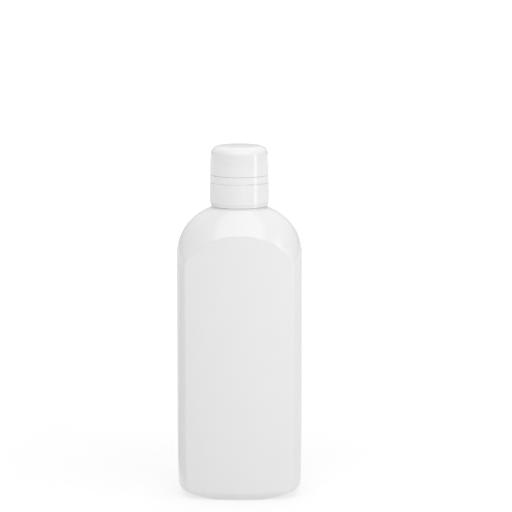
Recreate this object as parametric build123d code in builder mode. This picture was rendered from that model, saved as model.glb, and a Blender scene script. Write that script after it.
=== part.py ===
from build123d import *
from math import cos, radians, sqrt
import os

# A shampoo bottle with a screw-on flip-top closure.
# Millimetres, +Z up, origin at the centre of the foot. The label panels face -Y and +Y.

# Bottle body
HALF_WIDTH = 30.5  # over the rounded side wings
OVAL_DEPTH = 29.65  # half-depth of the oval that the label panels flatten
PANEL_DEPTH = 19.5  # half-depth at the middle of a label panel
PANEL_RADIUS = 80.0  # gentle curve of a label panel, seen from above
FOOT_TUCK = 0.45  # slight taper of the wings towards the foot
TUCK_TOP = 48.0  # height where the taper begins
WING_TUCK = 5.0  # how far the wings curve in just above the foot
WING_TUCK_TOP = 7.0
WALL = 1.1
FLOOR = 3.8  # top of the floor inside
RIDGE_RADIUS = 1.8  # rounding where a panel meets a wing and the shoulder
FOOT_RADIUS = 4.4
FOOT_TRIM = 0.05  # the rounded foot is trimmed flat by this much
PUSH_UP = 1.8  # how far the floor is pushed up inside the standing ring
RING_HALF_WIDTH = 22.0  # inside of the standing ring
RING_HALF_DEPTH = 13.0

# Shoulder
SHOULDER_Z = 118.85  # where the side arc of the shoulder begins
SHOULDER_RADIUS = 24.4
ARC_CENTRE = HALF_WIDTH - SHOULDER_RADIUS
ROOT_RADIUS = 14.0  # flat land round the neck
ROOT_RISE = 23.08  # shoulder height
FLARE_TOP = 6.0  # above this the front of the shoulder is a straight cone
FLARE_BOTTOM = -4.0
CONE_SLOPE = 0.47  # growth of the half-depth per millimetre down
ROOT_Z = SHOULDER_Z + ROOT_RISE

# Neck finish, 24 mm with 1.5 turns of thread
NECK_RADIUS = 10.75
BORE_RADIUS = 8.5
NECK_HEIGHT = 16.5
NECK_TOP = ROOT_Z + NECK_HEIGHT
PITCH = 3.175
TURNS = 1.5
THREAD_DEPTH = 1.1
THREAD_TOP = NECK_TOP - 2.4  # middle of the bead at its upper end
THREAD_GAP = 0.3  # radial clearance, crest to root
THREAD_SINK = 0.3  # how far a bead's root is sunk in its wall

# Closure base
SKIRT_Z = ROOT_Z + 0.9
PEDESTAL_RADIUS = 13.65  # low step on the land that the closure's skirt comes down to
PEDESTAL_GAP = 0.15
SKIRT_RADIUS = 14.25
BAND_RADIUS = 14.16
GROOVE_Z = SKIRT_Z + 11.4
GROOVE_WIDTH = 0.4
GROOVE_DEPTH = 0.25
PART_Z = SKIRT_Z + 15.1  # plane between base and lid, and height of the hinge axis
PART_GAP = 0.08  # from that plane to either rim
TONGUE_RADIUS = BAND_RADIUS - 0.2  # low step inside the base's rim that closes the parting gap
TONGUE_GAP = 0.05
SKIRT_BORE = NECK_RADIUS + THREAD_DEPTH + THREAD_GAP
SEAT_BORE = 11.6  # narrower bore above the thread
SEAT_Z = PART_Z - 0.25
LINER_GAP = 0.1
LINER_THICKNESS = 1.0
DECK_UNDER = NECK_TOP + LINER_THICKNESS + 2 * LINER_GAP
DECK_TOP = DECK_UNDER + 1.3
DRUM_RADIUS = 12.8
BEAD_RADIUS = 12.92
SPOUT_RADIUS = 3.4
SPOUT_TOP = DECK_TOP + 1.4
ORIFICE_RADIUS = 1.6

# Lid
LID_TOP = SKIRT_Z + 29.5
LID_WALL = 1.1
LID_TAPER = 0.35
LID_CROWN = 0.4
LID_CORNER = 4.2
PIN_RADIUS = 1.5
PIN_ROOT = 2.1

# Living hinge
HINGE_Y = 14.45
HINGE_LAND_Y = 14.2  # flat lands at the back of base and lid
HINGE_WIDTH = 9.0
FILM_INNER = 0.42
FILM_OUTER = 0.78


def foot_tuck(z):
    """How far the oval draws in at height z: a long slight taper and a short curve at the foot."""
    taper = FOOT_TUCK * max(0.0, 1 - z / TUCK_TOP) ** 2
    return taper + WING_TUCK * max(0.0, 1 - z / WING_TUCK_TOP) ** 2.5


def wing_half(z, inset):
    """Half-width of the oval at height z, for a skin that lies inset inside the outer one."""
    rise = z - SHOULDER_Z
    if rise > 0:
        return ARC_CENTRE + sqrt((SHOULDER_RADIUS - inset) ** 2 - rise**2)
    return HALF_WIDTH - foot_tuck(z) - inset


def front_half(z, inset):
    """Half-depth of the oval: the body, then a flare, then a straight cone to the neck."""
    rise = z - SHOULDER_Z
    inset = inset / cos(radians(25))
    if rise <= FLARE_BOTTOM:
        return OVAL_DEPTH - foot_tuck(z) - inset
    cone = ROOT_RADIUS + CONE_SLOPE * (ROOT_RISE - rise)
    if rise >= FLARE_TOP:
        return cone - inset
    start = ROOT_RADIUS + CONE_SLOPE * (ROOT_RISE - FLARE_TOP)
    span = FLARE_TOP - FLARE_BOTTOM
    s = (FLARE_TOP - rise) / span
    ease = 3 * s**2 - 2 * s**3
    lead = span * CONE_SLOPE * (s - 2 * s**2 + s**3)
    return start + lead + (OVAL_DEPTH - start) * ease - inset


def oval_form(levels, inset):
    """The smooth oval form that the label panels flatten."""
    with BuildPart() as form:
        for z in levels:
            with BuildSketch(Plane.XY.offset(z)):
                Ellipse(wing_half(z, inset), front_half(z, inset))
        loft()
    return form.part


def panel_prism(inset, low, high):
    """The upright prism between the two gently curved label panels."""
    radius = PANEL_RADIUS - inset
    centre = PANEL_RADIUS - PANEL_DEPTH
    with BuildPart() as prism:
        with BuildSketch(Plane.XY.offset(low)):
            with Locations((0, centre)):
                Circle(radius)
            with Locations((0, -centre)):
                Circle(radius, mode=Mode.INTERSECT)
        extrude(amount=high - low)
    return prism.part


def helical_bead(radius, low, half_root, half_crest, depth, sink):
    """A thread bead of TURNS turns. A positive depth stands outwards, a negative one inwards."""
    side = 1 if depth > 0 else -1
    flare = (half_root - half_crest) * sink / abs(depth)
    with BuildPart() as bead:
        with BuildLine() as path:
            Helix(PITCH, PITCH * TURNS, radius, center=(0, 0, low))
        start = Plane(
            origin=path.line @ 0, x_dir=(side, 0, 0), z_dir=path.line % 0
        )
        with BuildSketch(start):
            with BuildLine():
                Polyline(
                    (-sink, -half_root - flare),
                    (abs(depth), -half_crest),
                    (abs(depth), half_crest),
                    (-sink, half_root + flare),
                    close=True,
                )
            make_face()
        sweep(path=path.line, is_frenet=True)
    return bead.part


def turned(points, rounds):
    """A solid turned about Z from (radius, height) points; rounds gives {point index: fillet radius}."""
    with BuildPart() as body:
        with BuildSketch(Plane.XZ) as section:
            with BuildLine():
                Polyline(*points, close=True)
            make_face()
            for index, radius in rounds.items():
                corner = section.vertices().sort_by_distance((*points[index], 0))[0]
                fillet(corner, radius)
        revolve(axis=Axis.Z)
    return body.part


def make_bottle():
    foot = [-FOOT_TRIM, 2.2, 4.5, 6.7, 9, 13]
    straight = [16, 24, 34, 50, 70, 90, 104, SHOULDER_Z - 8]
    rises = [-4, -2.5, -1, 0.7, 2.4, 4.2, 6, 8, 10.5, 13, 15.5, 18, 20, 21.6]
    outer_levels = foot + straight + [SHOULDER_Z + rise for rise in rises + [22.5, ROOT_RISE]]
    inner_levels = [FLOOR] + foot[3:] + straight + [SHOULDER_Z + rise for rise in rises]
    ceiling = SHOULDER_Z + rises[-1]

    with BuildPart() as outer:
        add(oval_form(outer_levels, 0))
        add(panel_prism(0, -1, ROOT_Z + 1), mode=Mode.INTERSECT)
        sole = outer.faces().sort_by(Axis.Z)[0]
        fillet(sole.edges(), FOOT_RADIUS)
        panels = outer.faces().filter_by(GeomType.CYLINDER).sort_by(SortBy.AREA)[-2:]
        fillet([edge for edge in panels.edges() if edge.center().Z > FOOT_RADIUS + 1], RIDGE_RADIUS)
        split(bisect_by=Plane.XY, keep=Keep.TOP)

    with BuildPart() as cavity:
        add(oval_form(inner_levels, WALL))
        add(panel_prism(WALL, 0, ROOT_Z), mode=Mode.INTERSECT)
        fillet(cavity.edges().filter_by_position(Axis.Z, FLOOR - 0.01, FLOOR + 0.01), FOOT_RADIUS - WALL)

    with BuildPart() as push_up:
        for z, inset in ((0, 0), (PUSH_UP, 2.5)):
            with BuildSketch(Plane.XY.offset(z)):
                Ellipse(RING_HALF_WIDTH - inset, RING_HALF_DEPTH - inset)
        loft()

    with BuildPart() as bottle:
        add(outer.part)
        with BuildSketch(Plane.XY.offset(ROOT_Z - 1)):
            Circle(NECK_RADIUS)
        extrude(amount=NECK_HEIGHT + 1)
        with BuildSketch(Plane.XY.offset(ROOT_Z - 1)):
            Circle(PEDESTAL_RADIUS)
        extrude(amount=SKIRT_Z - PEDESTAL_GAP - ROOT_Z + 1)
        add(cavity.part, mode=Mode.SUBTRACT)
        with BuildSketch(Plane.XY.offset(ceiling - 1)):
            Circle(BORE_RADIUS)
        extrude(amount=NECK_TOP - ceiling + 1, mode=Mode.SUBTRACT)
        add(push_up.part, mode=Mode.SUBTRACT)
        lip = bottle.edges().filter_by_position(Axis.Z, NECK_TOP - 0.01, NECK_TOP + 0.01)
        fillet(lip, 0.4)
        low = THREAD_TOP - PITCH * TURNS
        add(helical_bead(NECK_RADIUS, low, 1.1, 0.45, THREAD_DEPTH, THREAD_SINK))
    return bottle.part


def make_closure_base():
    rim = PART_Z - PART_GAP
    tongue = PART_Z + PART_GAP - TONGUE_GAP
    half_groove = GROOVE_WIDTH / 2
    points = [
        (SKIRT_RADIUS - 0.35, SKIRT_Z),
        (SKIRT_RADIUS - 0.35, SKIRT_Z + 0.9),
        (SKIRT_RADIUS, SKIRT_Z + 1.9),
        (SKIRT_RADIUS, GROOVE_Z - half_groove),
        (SKIRT_RADIUS - GROOVE_DEPTH, GROOVE_Z - half_groove),
        (SKIRT_RADIUS - GROOVE_DEPTH, GROOVE_Z + half_groove),
        (BAND_RADIUS, GROOVE_Z + half_groove),
        (BAND_RADIUS, rim),
        (TONGUE_RADIUS, rim),
        (TONGUE_RADIUS, tongue),
        (DRUM_RADIUS, tongue),
        (DRUM_RADIUS, rim + 1.1),
        (BEAD_RADIUS, rim + 1.5),
        (DRUM_RADIUS, rim + 1.9),
        (DRUM_RADIUS, DECK_TOP),
        (SPOUT_RADIUS, DECK_TOP),
        (SPOUT_RADIUS - 0.4, SPOUT_TOP),
        (ORIFICE_RADIUS + 0.8, SPOUT_TOP),
        (ORIFICE_RADIUS, SPOUT_TOP - 0.8),
        (ORIFICE_RADIUS, DECK_UNDER),
        (SEAT_BORE, DECK_UNDER),
        (SEAT_BORE, SEAT_Z),
        (SKIRT_BORE, SEAT_Z - 0.4),
        (SKIRT_BORE, SKIRT_Z + 0.8),
        (SKIRT_BORE + 0.4, SKIRT_Z),
    ]
    rounds = {0: 0.3, 2: 1.5, 3: 0.15, 6: 0.12, 7: 0.12, 14: 0.5, 15: 0.8, 16: 0.15}
    land_top = rim
    with BuildPart() as base:
        add(turned(points, rounds))
        with Locations((0, (HINGE_LAND_Y + 12.7) / 2, land_top)):
            Box(HINGE_WIDTH, HINGE_LAND_Y - 12.7, 2.2, align=(Align.CENTER, Align.CENTER, Align.MAX))
        low = THREAD_TOP - PITCH * (TURNS + 0.5)
        add(helical_bead(SKIRT_BORE, low, 0.85, 0.35, -THREAD_DEPTH, THREAD_SINK))
    return base.part


def make_lid():
    rim = PART_Z + PART_GAP
    ceiling = LID_TOP - 1.4
    inner = BAND_RADIUS - LID_WALL
    points = [
        (inner, rim),
        (BAND_RADIUS, rim),
        (BAND_RADIUS, rim + 5),
        (BAND_RADIUS - LID_TAPER, LID_TOP - LID_CROWN),
        (0, LID_TOP),
        (0, DECK_TOP - 0.4),
        (0.7, DECK_TOP - 0.4),
        (PIN_RADIUS, SPOUT_TOP - 0.7),
        (PIN_RADIUS, SPOUT_TOP + 0.6),
        (PIN_ROOT, SPOUT_TOP + 1.6),
        (PIN_ROOT, ceiling),
        (inner - LID_TAPER, ceiling),
    ]
    rounds = {1: 0.12, 3: LID_CORNER, 10: 0.8, 11: LID_CORNER - LID_WALL}
    with BuildPart() as lid:
        add(turned(points, rounds))
        with Locations((0, (HINGE_LAND_Y + 13.25) / 2, rim)):
            Box(HINGE_WIDTH, HINGE_LAND_Y - 13.25, 2.2, align=(Align.CENTER, Align.CENTER, Align.MIN))
    return lid.part


def make_hinge():
    with BuildPart() as hinge:
        with BuildSketch(Plane.YZ):
            with Locations((HINGE_Y, PART_Z)):
                Circle(FILM_OUTER)
                Circle(FILM_INNER, mode=Mode.SUBTRACT)
            with Locations((HINGE_LAND_Y - 1, PART_Z)):
                Rectangle(2, 4, mode=Mode.SUBTRACT)
        extrude(amount=HINGE_WIDTH / 2 - 0.5, both=True)
    return hinge.part


def make_liner():
    with BuildPart() as liner:
        with BuildSketch(Plane.XY.offset(NECK_TOP + LINER_GAP)):
            Circle(SEAT_BORE - 0.3)
            Circle(BORE_RADIUS + 0.1, mode=Mode.SUBTRACT)
        extrude(amount=LINER_THICKNESS)
    return liner.part


os.makedirs("parts", exist_ok=True)

bottle = make_bottle()
bottle.label = "bottle"
export_step(bottle, "parts/bottle.step")

closure_base = make_closure_base()
closure_base.label = "closure_base"
export_step(closure_base, "parts/closure_base.step")

lid = make_lid()
lid.label = "lid"
export_step(lid, "parts/lid.step")

living_hinge = make_hinge()
living_hinge.label = "living_hinge"
export_step(living_hinge, "parts/living_hinge.step")

liner = make_liner()
liner.label = "liner"
export_step(liner, "parts/liner.step")
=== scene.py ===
from math import cos, pi, radians, sin

import bpy
import numpy as np
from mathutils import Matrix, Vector


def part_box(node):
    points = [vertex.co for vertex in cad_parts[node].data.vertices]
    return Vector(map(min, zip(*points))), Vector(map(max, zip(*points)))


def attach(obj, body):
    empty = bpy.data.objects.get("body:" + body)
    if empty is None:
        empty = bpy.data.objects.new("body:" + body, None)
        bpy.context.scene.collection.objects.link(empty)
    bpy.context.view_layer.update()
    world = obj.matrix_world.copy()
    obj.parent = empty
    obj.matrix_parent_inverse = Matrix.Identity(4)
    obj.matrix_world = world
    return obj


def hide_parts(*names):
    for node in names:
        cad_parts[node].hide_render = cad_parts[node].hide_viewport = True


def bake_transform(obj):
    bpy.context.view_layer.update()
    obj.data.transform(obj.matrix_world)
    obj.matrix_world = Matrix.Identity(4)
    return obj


# A white flip-top shampoo bottle on a pale studio floor. Metres, +Z up, the front panel faces -Y.

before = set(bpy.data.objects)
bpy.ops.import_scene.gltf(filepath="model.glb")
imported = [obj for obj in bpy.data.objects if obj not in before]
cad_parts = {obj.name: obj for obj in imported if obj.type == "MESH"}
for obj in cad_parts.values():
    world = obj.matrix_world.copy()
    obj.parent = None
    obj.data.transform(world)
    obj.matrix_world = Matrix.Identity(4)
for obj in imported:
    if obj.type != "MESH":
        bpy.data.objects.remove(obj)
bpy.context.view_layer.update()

# ---------------------------------------------------------------- the bottle's form, in millimetres

HALF_WIDTH = 30.5
OVAL_DEPTH = 29.65  # half-depth of the oval that the label panels flatten
PANEL_DEPTH = 19.5
PANEL_RADIUS = 80.0
FOOT_TAPER, FOOT_TAPER_TOP = 0.45, 48.0
WING_TUCK, WING_TUCK_TOP = 5.0, 7.0
RIDGE_RADIUS = 2.5
RIDGE_X, RIDGE_Y = 26.0, 15.6  # where a panel meets a wing
FOOT_RADIUS = 5.2
FOOT_SLOPE, FOOT_EDGE = 38.0, 1.6  # the foot's sloped band, in degrees, and the rounding of its edges
PUSH_UP = 1.8
RING_HALF = (22.0, 13.0)  # inside of the standing ring
PINCH_DEPTH, PINCH_WIDTH, PINCH_REACH = 0.22, 0.45, 17.0  # pinch-off line across the sole
WALL = 1.1
SHOULDER_Z = 118.85
SHOULDER_RADIUS = 24.4
ARC_CENTRE = HALF_WIDTH - SHOULDER_RADIUS
ROOT_RADIUS = 14.0
ROOT_RISE = 23.08
FLARE_TOP, FLARE_BOTTOM = 6.0, -4.0
CONE_SLOPE = 0.47
ROOT_Z = SHOULDER_Z + ROOT_RISE
NECK_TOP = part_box("bottle")[1][2] * 1000
NECK_RADIUS = 10.75
NECK_FILLET = 0.6
BORE_RADIUS = 8.5
LIP_RADIUS = 0.4
PITCH, TURNS = 3.175, 1.5
THREAD_DEPTH = 1.1
THREAD_HALF, THREAD_FLANK = 1.1, 0.65  # half-width of a thread at its root, and of its sloped side
THREAD_TOP = NECK_TOP - 2.4
SEAM_HEIGHT, SEAM_WIDTH = 0.05, 0.16
PEDESTAL_RADIUS, PEDESTAL_GAP, PEDESTAL_EDGE = 13.65, 0.15, 0.12
HINGE_Y, HINGE_LAND_Y = 14.45, 14.2
HINGE_Z = (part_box("living_hinge")[0][2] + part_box("living_hinge")[1][2]) * 500
FILM_RADIUS = 0.6
FILM_THIN, FILM_THICK = 0.26, 0.36
FILM_WEB = 0.35  # share of the film's length over which it thins

# ---------------------------------------------------------------- studio, in metres and watts

CAMERA_AIM = (0.00806, 0.0, 0.1179)
CAMERA_DISTANCE, CAMERA_ELEVATION = 1.2, 8.7
VIEW_WIDTH = 0.24945188794  # width of the picture at the bottle
WORLD_EVEN, WORLD_BACK, WORLD_TOP = 0.09, 0.38, 1.1
STRIP_POWER, STRIP_SIZE = 0.24, (0.06, 0.36)
STRIP_PLACE, STRIP_TARGET = (0.37, -0.165, 0.19), (0, 0, 0.19)
BOX_POWER, BOX_SIZE = 3.1, (1.1, 0.6)
BOX_PLACE, BOX_TARGET = (0.0, -0.6, 0.75), (0, 0, 0.1)
FLOOR_RADIUS, COVE = 3.2, 0.6
FLOOR_WHITE = 0.35
# Painted light: the floor's own glow, weaker near the bottle than away from it.
GLOW_NEAR, GLOW_FAR = 0.585, 0.81
GLOW_START, GLOW_END = 0.1, 1.4  # distances from the bottle
# Glowing cards seen only in the bottle's reflections, painting shade into its sides.
CARD_HEIGHT = 0.001
LEFT_CARD_GLOW, BACK_CARD_GLOW = 0.62, 0.82
LEFT_CARD = ((-0.06, -0.03), (-0.9, 0.05), (-0.7, 1.0), (-0.04, 0.08))
BACK_CARD = ((-0.04, 0.08), (-0.7, 1.0), (-0.5, 1.6), (0.7, 1.5), (0.9, -0.05), (0.05, 0.0))


def oval(z):
    """Half-width and half-depth of the smooth oval that the panels flatten, at heights z."""
    z = np.maximum(z, 0.0)
    rise = np.clip(z - SHOULDER_Z, -1e9, ROOT_RISE)
    tuck = FOOT_TAPER * np.clip(1 - z / FOOT_TAPER_TOP, 0, 1) ** 2
    tuck = tuck + WING_TUCK * np.clip(1 - z / WING_TUCK_TOP, 0, 1) ** 2.5
    side = np.where(
        rise > 0,
        ARC_CENTRE + np.sqrt(np.maximum(SHOULDER_RADIUS**2 - np.maximum(rise, 0) ** 2, 0)),
        HALF_WIDTH - tuck,
    )
    start = ROOT_RADIUS + CONE_SLOPE * (ROOT_RISE - FLARE_TOP)
    span = FLARE_TOP - FLARE_BOTTOM
    s = np.clip((FLARE_TOP - rise) / span, 0, 1)
    flare = start + span * CONE_SLOPE * (s - 2 * s**2 + s**3) + (OVAL_DEPTH - start) * (3 * s**2 - 2 * s**3)
    cone = ROOT_RADIUS + CONE_SLOPE * (ROOT_RISE - rise)
    front = np.where(rise >= FLARE_TOP, cone, np.where(rise > FLARE_BOTTOM, flare, OVAL_DEPTH - tuck))
    return side, front


def oval_field(p):
    """Distance, near enough, to the oval at each point's own height."""
    a, b = oval(p[..., 2])
    x, y = p[..., 0], p[..., 1]
    k0 = np.sqrt((x / a) ** 2 + (y / b) ** 2) + 1e-9
    k1 = np.sqrt((x / a**2) ** 2 + (y / b**2) ** 2) + 1e-9
    return k0 * (k0 - 1) / k1


def gradient(field, p, step=0.02):
    """Slope of a field at points p, by central differences."""
    g = np.empty_like(p)
    for axis in range(3):
        d = np.zeros(3)
        d[axis] = step
        g[..., axis] = (field(p + d) - field(p - d)) / (2 * step)
    return g


def rounded_max(d1, n1, d2, n2, radius):
    """The larger of two distances, with the edge between them rounded to radius."""
    r = radius * np.clip(1 - (n1 * n2).sum(-1), 0.02, 1.0)
    u, v = np.maximum(d1 + r, 0), np.maximum(d2 + r, 0)
    return np.minimum(np.maximum(d1, d2), -r) + np.sqrt(u**2 + v**2)


def body_field(p):
    """Signed distance, near enough, to the bottle's outer skin below the neck."""
    g = gradient(oval_field, p)
    size = np.linalg.norm(g, axis=-1, keepdims=True)
    d_oval, n_oval = oval_field(p) / size[..., 0], g / size
    centre = PANEL_RADIUS - PANEL_DEPTH
    side = np.where(p[..., 1] < 0, 1.0, -1.0)
    away = np.stack([p[..., 0], p[..., 1] - side * centre, np.zeros_like(p[..., 0])], -1)
    reach = np.linalg.norm(away, axis=-1, keepdims=True)
    d_panel, n_panel = reach[..., 0] - PANEL_RADIUS, away / reach
    skin = rounded_max(d_oval, n_oval, d_panel, n_panel, RIDGE_RADIUS)
    mix = (d_oval > d_panel)[..., None]
    n_skin = np.where(mix, n_oval, n_panel)
    down = np.zeros_like(p)
    down[..., 2] = -1.0
    slope = radians(FOOT_SLOPE)
    n_band = n_skin * cos(slope) + down * sin(slope)
    d_band = (skin + FOOT_RADIUS) * cos(slope) + (FOOT_RADIUS - p[..., 2]) * sin(slope) - FOOT_RADIUS
    foot = rounded_max(skin, n_skin, d_band, n_band, FOOT_EDGE)
    return rounded_max(foot, n_band, -p[..., 2], down, FOOT_EDGE)


def cast(origin, direction, level, reach=45.0):
    """Where rays from inside the body meet the skin that lies -level inside the outer one."""
    low = np.zeros(origin.shape[:-1])
    high = np.full(origin.shape[:-1], reach)
    for _ in range(26):
        mid = (low + high) / 2
        inside = body_field(origin + direction * mid[..., None]) < level
        low, high = np.where(inside, mid, low), np.where(inside, high, mid)
    return origin + direction * ((low + high) / 2)[..., None]


def spread_angles(count):
    """Angles round the axis, closer together at the four ridges and at the mould's parting line."""
    t = np.linspace(0, 2 * pi, 20001)
    density = np.ones_like(t)
    ridge = np.arctan2(RIDGE_Y, RIDGE_X)
    for peak in (ridge, pi - ridge, pi + ridge, 2 * pi - ridge):
        density += 3.0 * np.exp(-(((t - peak) / 0.06) ** 2))
    for peak in (0, pi, 2 * pi):
        density += 9.0 * np.exp(-(((t - peak) / 0.012) ** 2))
    total = np.concatenate([[0], np.cumsum((density[1:] + density[:-1]) / 2)])
    return np.interp(np.arange(count) / count * total[-1], total, t)


def ring_rows(angles, radii, heights):
    """Rows of round rings at (radius, height)."""
    rows = []
    for r, z in zip(radii, heights):
        rows.append(np.stack([r * np.cos(angles), r * np.sin(angles), np.full_like(angles, z)], -1))
    return rows


def arc_points(centre, radius, start, stop, count):
    """Radii and heights along an arc, with start and stop in degrees."""
    t = np.radians(np.linspace(start, stop, count))
    return centre[0] + radius * np.cos(t), centre[1] + radius * np.sin(t)


def skin_rows(angles, level, foot_rows, wall_rows, shoulder_rows, lowest=8.0, top_z=ROOT_Z):
    """Rows up the outer or inner skin: round the foot, up the wall and over the shoulder."""
    flat = np.stack([np.cos(angles), np.sin(angles), np.zeros_like(angles)], -1)
    core_x, core_y = RING_HALF[0] + 0.6, RING_HALF[1] + 0.5
    core = 1 / np.sqrt((flat[:, 0] / core_x) ** 2 + (flat[:, 1] / core_y) ** 2)
    up = np.array([0.0, 0.0, 1.0])
    rows = []
    for tilt in np.radians(90 - 90 * np.linspace(0, 1, foot_rows) ** 0.9):
        origin = flat * core[:, None] + up * lowest
        rows.append(cast(origin, flat * cos(tilt) - up * sin(tilt), level))
    waist = SHOULDER_Z - 6
    for z in np.linspace(lowest, waist, wall_rows)[1:]:
        rows.append(cast(flat * 0 + up * z, flat, level))
    top_radius = np.interp(top_z, [ROOT_Z - 3, ROOT_Z], [ROOT_RADIUS + 1.4, ROOT_RADIUS])
    top = np.arctan2(top_z - waist, top_radius)
    for tilt in np.linspace(0, top, shoulder_rows)[1:]:
        rows.append(cast(flat * 0 + up * waist, flat * cos(tilt) + up * sin(tilt), level, 60.0))
    return rows


def neck_rows(angles):
    """Land, neck with its thread, lip and bore, from the shoulder up and down to the cavity."""
    rows = ring_rows(angles, [ROOT_RADIUS - 0.12, ROOT_RADIUS - 0.2], [ROOT_Z - 0.01, ROOT_Z])
    rows += neck_step(angles)
    top = rows[-1][0][2]
    r, z = arc_points((NECK_RADIUS + NECK_FILLET, top + NECK_FILLET), NECK_FILLET, 270, 180, 6)
    rows += ring_rows(angles, r, z)
    thread_start = THREAD_TOP - PITCH * TURNS
    heights = np.linspace(top + 0.8, NECK_TOP - 0.45, 80)
    for z in heights:
        ramp = (z - thread_start) / PITCH - angles / (2 * pi)
        turn = np.round(ramp)
        along = turn + angles / (2 * pi)
        off = np.abs(ramp - turn) * PITCH
        rise = np.clip((THREAD_HALF - off) / THREAD_FLANK, 0, 1)
        rise = rise * rise * (3 - 2 * rise)
        low_end = np.clip((along + 0.02) / 0.06, 0, 1)
        high_end = np.clip((TURNS + 0.02 - along) / 0.06, 0, 1)
        radius = NECK_RADIUS + THREAD_DEPTH * rise * low_end * high_end
        rows += ring_rows(angles, [radius], [z])
    r, z = arc_points((NECK_RADIUS - LIP_RADIUS, NECK_TOP - LIP_RADIUS), LIP_RADIUS, 0, 90, 5)
    rows += ring_rows(angles, r, z)
    r, z = arc_points((BORE_RADIUS + LIP_RADIUS, NECK_TOP - LIP_RADIUS), LIP_RADIUS, 90, 180, 5)
    rows += ring_rows(angles, r, z)
    rows += ring_rows(angles, [BORE_RADIUS] * 6, np.linspace(NECK_TOP - 0.6, ROOT_Z - 0.2, 6))
    r, z = arc_points((BORE_RADIUS + 1.4, ROOT_Z - 0.2), 1.4, 180, 265, 6)
    rows += ring_rows(angles, r[1:], z[1:])
    return rows


def sole_rows(angles):
    """The standing ring and the pushed-up floor with its pinch-off line, from the middle out."""
    rows = []
    for s in np.concatenate([np.linspace(0.04, 0.86, 14), np.linspace(0.88, 1.0, 8)]):
        x, y = RING_HALF[0] * s * np.cos(angles), RING_HALF[1] * s * np.sin(angles)
        ease = np.clip((1.0 - s) / 0.14, 0, 1)
        z = PUSH_UP * ease**2 * (3 - 2 * ease)
        pinch = PINCH_DEPTH * np.exp(-((y / PINCH_WIDTH) ** 2))
        pinch = pinch * np.clip((PINCH_REACH - np.abs(x)) / 3, 0, 1)
        rows.append(np.stack([x, y, np.maximum(z - pinch * (z > 0.5), 0.0)], -1))
    return rows


def stitch(name, rows, cap_first, cap_last, material, body=None):
    """A smooth mesh of quads through rows of equal length, in millimetres, riding on a body."""
    count = len(rows[0])
    points = np.concatenate(rows) * 0.001
    i, j = np.meshgrid(np.arange(len(rows) - 1), np.arange(count), indexing="ij")
    n = (j + 1) % count
    here, above = i * count, (i + 1) * count
    quads = np.stack([here + j, here + n, above + n, above + j], -1)
    faces = quads.reshape(-1, 4).tolist()
    if cap_first:
        faces.append(list(range(count))[::-1])
    if cap_last:
        last = (len(rows) - 1) * count
        faces.append([last + k for k in range(count)])
    mesh = bpy.data.meshes.new(name)
    mesh.from_pydata(points.tolist(), [], faces)
    mesh.shade_smooth()
    mesh.materials.append(material)
    piece = bpy.data.objects.new(name, mesh)
    bpy.context.scene.collection.objects.link(piece)
    if body:
        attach(piece, body)
    return piece


def make_bottle(material):
    """The blown bottle: outer skin with its two mould seams, neck, and inner skin."""
    angles = spread_angles(400)
    outer = np.stack(skin_rows(angles, -SEAM_HEIGHT, 22, 56, 90))
    x, y, z = outer[..., 0], outer[..., 1], outer[..., 2]
    normals = gradient(body_field, outer, 0.01)
    normals /= np.linalg.norm(normals, axis=-1, keepdims=True)
    seam = SEAM_HEIGHT * np.exp(-((y / SEAM_WIDTH) ** 2)) * (np.abs(x) > 5) * (z > 0.3)
    outer = outer + normals * seam[..., None]
    inner = skin_rows(angles, -WALL, 8, 20, 26, 9.0, ROOT_Z - 2.2)[::-1]
    rows = sole_rows(angles) + list(outer) + neck_rows(angles) + inner
    piece = stitch("bottle_shell", rows, True, True, material, "bottle")
    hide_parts("bottle")


def neck_step(angles):
    """The low step that the closure's skirt comes down to."""
    edge = PEDESTAL_EDGE
    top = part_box("closure_base")[0][2] * 1000 - PEDESTAL_GAP
    r, z = arc_points((PEDESTAL_RADIUS - edge, top - edge), edge, 0, 90, 4)
    foot, foot_z = arc_points((PEDESTAL_RADIUS + edge, ROOT_Z + edge), edge, 270, 180, 4)
    radii = [*foot, PEDESTAL_RADIUS, *r]
    return ring_rows(angles, radii, [*foot_z, top - 0.2, *z])


def film_line(count):
    """The film's middle line in the YZ plane, rim to rim round the axis, with its outward direction."""
    arc = FILM_RADIUS * pi
    straight = HINGE_Y - HINGE_LAND_Y + 0.03
    line = []
    for s in np.linspace(-straight, arc + straight, count):
        turn = min(max(s, 0), arc) / FILM_RADIUS - pi / 2
        past = min(s, 0) + max(s - arc, 0)
        y = HINGE_Y + FILM_RADIUS * cos(turn) - abs(past)
        line.append((y, HINGE_Z + FILM_RADIUS * sin(turn), cos(turn), sin(turn)))
    return line


def make_hinge(material):
    """The living hinge: a short strip arched round the axis, thinned to a web along its middle."""
    half = (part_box("living_hinge")[1][0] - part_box("living_hinge")[0][0]) * 500
    line = film_line(41)
    rows = []
    for across in np.linspace(-half, half, 25):
        loop = []
        for side in (0.5, -0.5):
            for k, (y, z, out_y, out_z) in enumerate(line[:: int(side * 2)]):
                middle = abs(2 * k / (len(line) - 1) - 1)
                thickness = FILM_THIN + (FILM_THICK - FILM_THIN) * min(1.0, (middle / FILM_WEB) ** 2)
                loop.append((across, y + side * thickness * out_y, z + side * thickness * out_z))
        rows.append(np.array(loop))
    film = stitch("hinge_film", rows, True, True, material)
    film.data.set_sharp_from_angle(angle=radians(50))
    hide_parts("living_hinge")
    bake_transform(film)


# ---------------------------------------------------------------- camera, lights, floor


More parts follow.
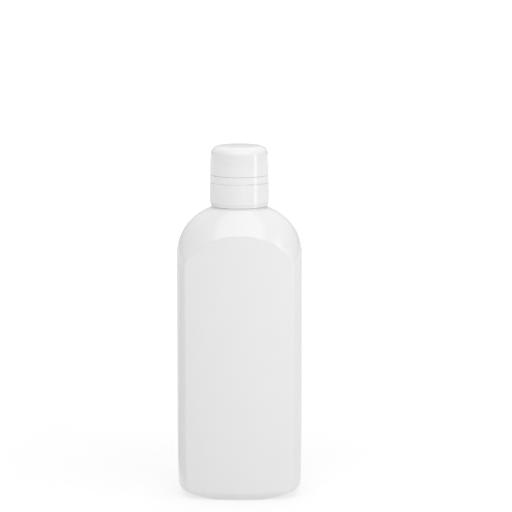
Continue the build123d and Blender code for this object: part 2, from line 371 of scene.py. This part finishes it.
def make_camera(aim, distance, elevation, field):
    """A long-lens camera looking along +Y, and down by elevation, with field metres across at aim."""
    data = bpy.data.cameras.new("camera")
    data.sensor_width = 36.0
    data.lens = 36.0 * distance / field
    data.clip_start = 0.05
    data.clip_end = 50.0
    camera = bpy.data.objects.new("camera", data)
    bpy.context.scene.collection.objects.link(camera)
    camera.rotation_euler = (radians(90.0 - elevation), 0.0, 0.0)
    back = Vector((0.0, 0.0, distance))
    back.rotate(camera.rotation_euler)
    camera.location = Vector(aim) + back
    bpy.context.scene.camera = camera


def area_light(name, location, target, size, power):
    """A rectangular light aimed at target, not itself seen by the camera."""
    data = bpy.data.lights.new(name, "AREA")
    data.shape = "RECTANGLE"
    data.size, data.size_y = size
    data.energy = power
    light = bpy.data.objects.new(name, data)
    light.location = location
    light.rotation_euler = (Vector(target) - Vector(location)).to_track_quat("-Z", "Y").to_euler()
    light.visible_camera = False
    bpy.context.scene.collection.objects.link(light)


def make_world(even, back, top):
    """Studio walls: even light, with broad panels behind and above."""
    world = bpy.data.worlds.new("studio")
    bpy.context.scene.world = world
    world.use_nodes = True
    tree = world.node_tree
    tree.nodes["Background"].inputs["Color"].default_value = (1, 1, 1, 1)
    split = tree.nodes.new("ShaderNodeSeparateXYZ")
    tree.links.new(tree.nodes.new("ShaderNodeTexCoord").outputs["Generated"], split.inputs[0])
    total = None
    for axis, strength in (("Y", back), ("Z", top)):
        facing = tree.nodes.new("ShaderNodeMath")
        facing.operation = "MAXIMUM"
        facing.inputs[1].default_value = 0.0
        tree.links.new(split.outputs[axis], facing.inputs[0])
        panel = tree.nodes.new("ShaderNodeMath")
        panel.operation = "MULTIPLY_ADD"
        panel.inputs[1].default_value = strength
        panel.inputs[2].default_value = even
        tree.links.new(facing.outputs[0], panel.inputs[0])
        if total:
            tree.links.new(total, panel.inputs[2])
        total = panel.outputs[0]
    tree.links.new(total, tree.nodes["Background"].inputs["Strength"])


def round_sheet(name, profile, material):
    """A stage surface turned about the upright axis, from (radius, height) points."""
    count = 96
    points, faces = [], []
    for r, z in profile:
        points += [(r * cos(2 * pi * k / count), r * sin(2 * pi * k / count), z) for k in range(count)]
    for row in range(len(profile) - 1):
        low, high = row * count, (row + 1) * count
        for k in range(count):
            n = (k + 1) % count
            faces.append((low + k, high + k, high + n, low + n))
    mesh = bpy.data.meshes.new(name)
    mesh.from_pydata(points, [], faces)
    mesh.shade_smooth()
    mesh.materials.append(material)
    sheet = bpy.data.objects.new(name, mesh)
    bpy.context.scene.collection.objects.link(sheet)
    return sheet


def make_floor(material):
    """A round white floor, and a low wall round it that is seen but lights nothing; both carry the floor's
    painted glow.
    """
    flat = [(r, 0.0) for r in (0.001, 0.3, 0.8, 1.6, 2.4, FLOOR_RADIUS)]
    turns = np.radians(np.linspace(0, 90, 17))
    curve = [(FLOOR_RADIUS + COVE * sin(turn), COVE * (1 - cos(turn))) for turn in turns]
    round_sheet("studio_floor", flat, material)
    wall = round_sheet("studio_wall", curve, material)
    wall.visible_diffuse = False
    wall.visible_glossy = False


def make_reflection_card(name, corners, glow):
    """A dim glowing card on the floor that shows only in the reflections of the bottle's sides: painted
    shade in those reflections.
    """
    mesh = bpy.data.meshes.new(name)
    points = [(x, y, CARD_HEIGHT) for x, y in corners]
    mesh.from_pydata(points, [], [tuple(range(len(corners)))])
    material, _, shader = new_material(name, (0.0, 0.0, 0.0), 1.0)
    shader.inputs["Emission Color"].default_value = (1, 1, 1, 1)
    shader.inputs["Emission Strength"].default_value = glow
    mesh.materials.append(material)
    card = bpy.data.objects.new(name, mesh)
    bpy.context.scene.collection.objects.link(card)
    card.visible_camera = False
    card.visible_diffuse = False
    card.visible_shadow = False


# ---------------------------------------------------------------- materials


def grey(level):
    return (level, level, level)


def new_material(name, colour, roughness):
    material = bpy.data.materials.new(name)
    material.use_nodes = True
    shader = material.node_tree.nodes["Principled BSDF"]
    shader.inputs["Base Color"].default_value = (*colour, 1)
    shader.inputs["Roughness"].default_value = roughness
    return material, material.node_tree, shader


def object_coordinates(tree):
    return tree.nodes.new("ShaderNodeTexCoord").outputs["Object"]


def noise(tree, source, scale, detail, roughness=0.5):
    node = tree.nodes.new("ShaderNodeTexNoise")
    node.inputs["Scale"].default_value = scale
    node.inputs["Detail"].default_value = detail
    node.inputs["Roughness"].default_value = roughness
    tree.links.new(source, node.inputs["Vector"])
    return node.outputs["Fac"]


def remap(tree, source, low, high):
    node = tree.nodes.new("ShaderNodeMapRange")
    node.inputs["To Min"].default_value = low
    node.inputs["To Max"].default_value = high
    tree.links.new(source, node.inputs["Value"])
    return node.outputs["Result"]


def bump(tree, height, distance, strength, before=None):
    node = tree.nodes.new("ShaderNodeBump")
    node.inputs["Distance"].default_value = distance
    node.inputs["Strength"].default_value = strength
    tree.links.new(height, node.inputs["Height"])
    if before:
        tree.links.new(before, node.inputs["Normal"])
    return node.outputs["Normal"]


def tinted(tree, source, low, high):
    node = tree.nodes.new("ShaderNodeMix")
    node.data_type = "RGBA"
    node.inputs[6].default_value = (*low, 1)
    node.inputs[7].default_value = (*high, 1)
    tree.links.new(source, node.inputs[0])
    return node.outputs[2]


def plastic(name, low, high, roughness, grain_scale, grain_depth, wave_depth, subsurface):
    """Moulded plastic or foam: faint cloudiness, a fine grain and slow waviness."""
    material, tree, shader = new_material(name, low, roughness)
    place = object_coordinates(tree)
    clouds = tinted(tree, noise(tree, place, 60.0, 3.0), low, high)
    tree.links.new(clouds, shader.inputs["Base Color"])
    sheen = remap(tree, noise(tree, place, 45.0, 2.0), roughness - 0.02, roughness + 0.02)
    tree.links.new(sheen, shader.inputs["Roughness"])
    waves = bump(tree, noise(tree, place, 28.0, 1.0), wave_depth, 1.0)
    grain = bump(tree, noise(tree, place, grain_scale, 2.0), grain_depth, 1.0, waves)
    tree.links.new(grain, shader.inputs["Normal"])
    shader.inputs["Subsurface Weight"].default_value = subsurface
    shader.inputs["Subsurface Radius"].default_value = (1.0, 0.95, 0.9)
    shader.inputs["Subsurface Scale"].default_value = 0.002
    shader.inputs["IOR"].default_value = 1.5
    return material


def glowing_floor():
    """White floor with a painted glow, though it is no lamp: the glow lights the bottle, softens its
    contact shadow, and is a little stronger away from the bottle.
    """
    material, tree, shader = new_material("white_floor", grey(FLOOR_WHITE), 0.9)
    distance = tree.nodes.new("ShaderNodeVectorMath")
    distance.operation = "LENGTH"
    tree.links.new(object_coordinates(tree), distance.inputs[0])
    glow = tree.nodes.new("ShaderNodeMapRange")
    glow.inputs["From Min"].default_value = GLOW_START
    glow.inputs["From Max"].default_value = GLOW_END
    glow.inputs["To Min"].default_value = GLOW_NEAR
    glow.inputs["To Max"].default_value = GLOW_FAR
    tree.links.new(distance.outputs["Value"], glow.inputs["Value"])
    tree.links.new(glow.outputs["Result"], shader.inputs["Emission Strength"])
    shader.inputs["Emission Color"].default_value = (1, 1, 1, 1)
    return material


make_camera(CAMERA_AIM, CAMERA_DISTANCE, CAMERA_ELEVATION, VIEW_WIDTH)

hdpe = plastic("white_hdpe", grey(0.755), grey(0.775), 0.18, 2600.0, 0.0000015, 0.00012, 0.0)
polypropylene = plastic("white_pp", grey(0.765), grey(0.78), 0.17, 3200.0, 0.000001, 0.00003, 0.0)
foam = plastic("liner_foam", (0.78, 0.79, 0.77), (0.84, 0.84, 0.83), 0.7, 1400.0, 0.00008, 0.00002, 0.1)

cad_materials = {
    "closure_base": polypropylene,
    "lid": polypropylene,
    "living_hinge": polypropylene,
    "liner": foam,
    "bottle": hdpe,
}
for name, material in cad_materials.items():
    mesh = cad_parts[name].data
    mesh.materials.clear()
    mesh.materials.append(material)

make_bottle(hdpe)
make_hinge(polypropylene)

make_floor(glowing_floor())
# Painted shade: dim cards that show only in the bottle's reflections.
make_reflection_card("left_reflection_card", LEFT_CARD, LEFT_CARD_GLOW)
make_reflection_card("back_reflection_card", BACK_CARD, BACK_CARD_GLOW)

make_world(WORLD_EVEN, WORLD_BACK, WORLD_TOP)
area_light("strip", STRIP_PLACE, STRIP_TARGET, STRIP_SIZE, STRIP_POWER)
area_light("front_box", BOX_PLACE, BOX_TARGET, BOX_SIZE, BOX_POWER)

bpy.context.scene.view_settings.view_transform = "Standard"
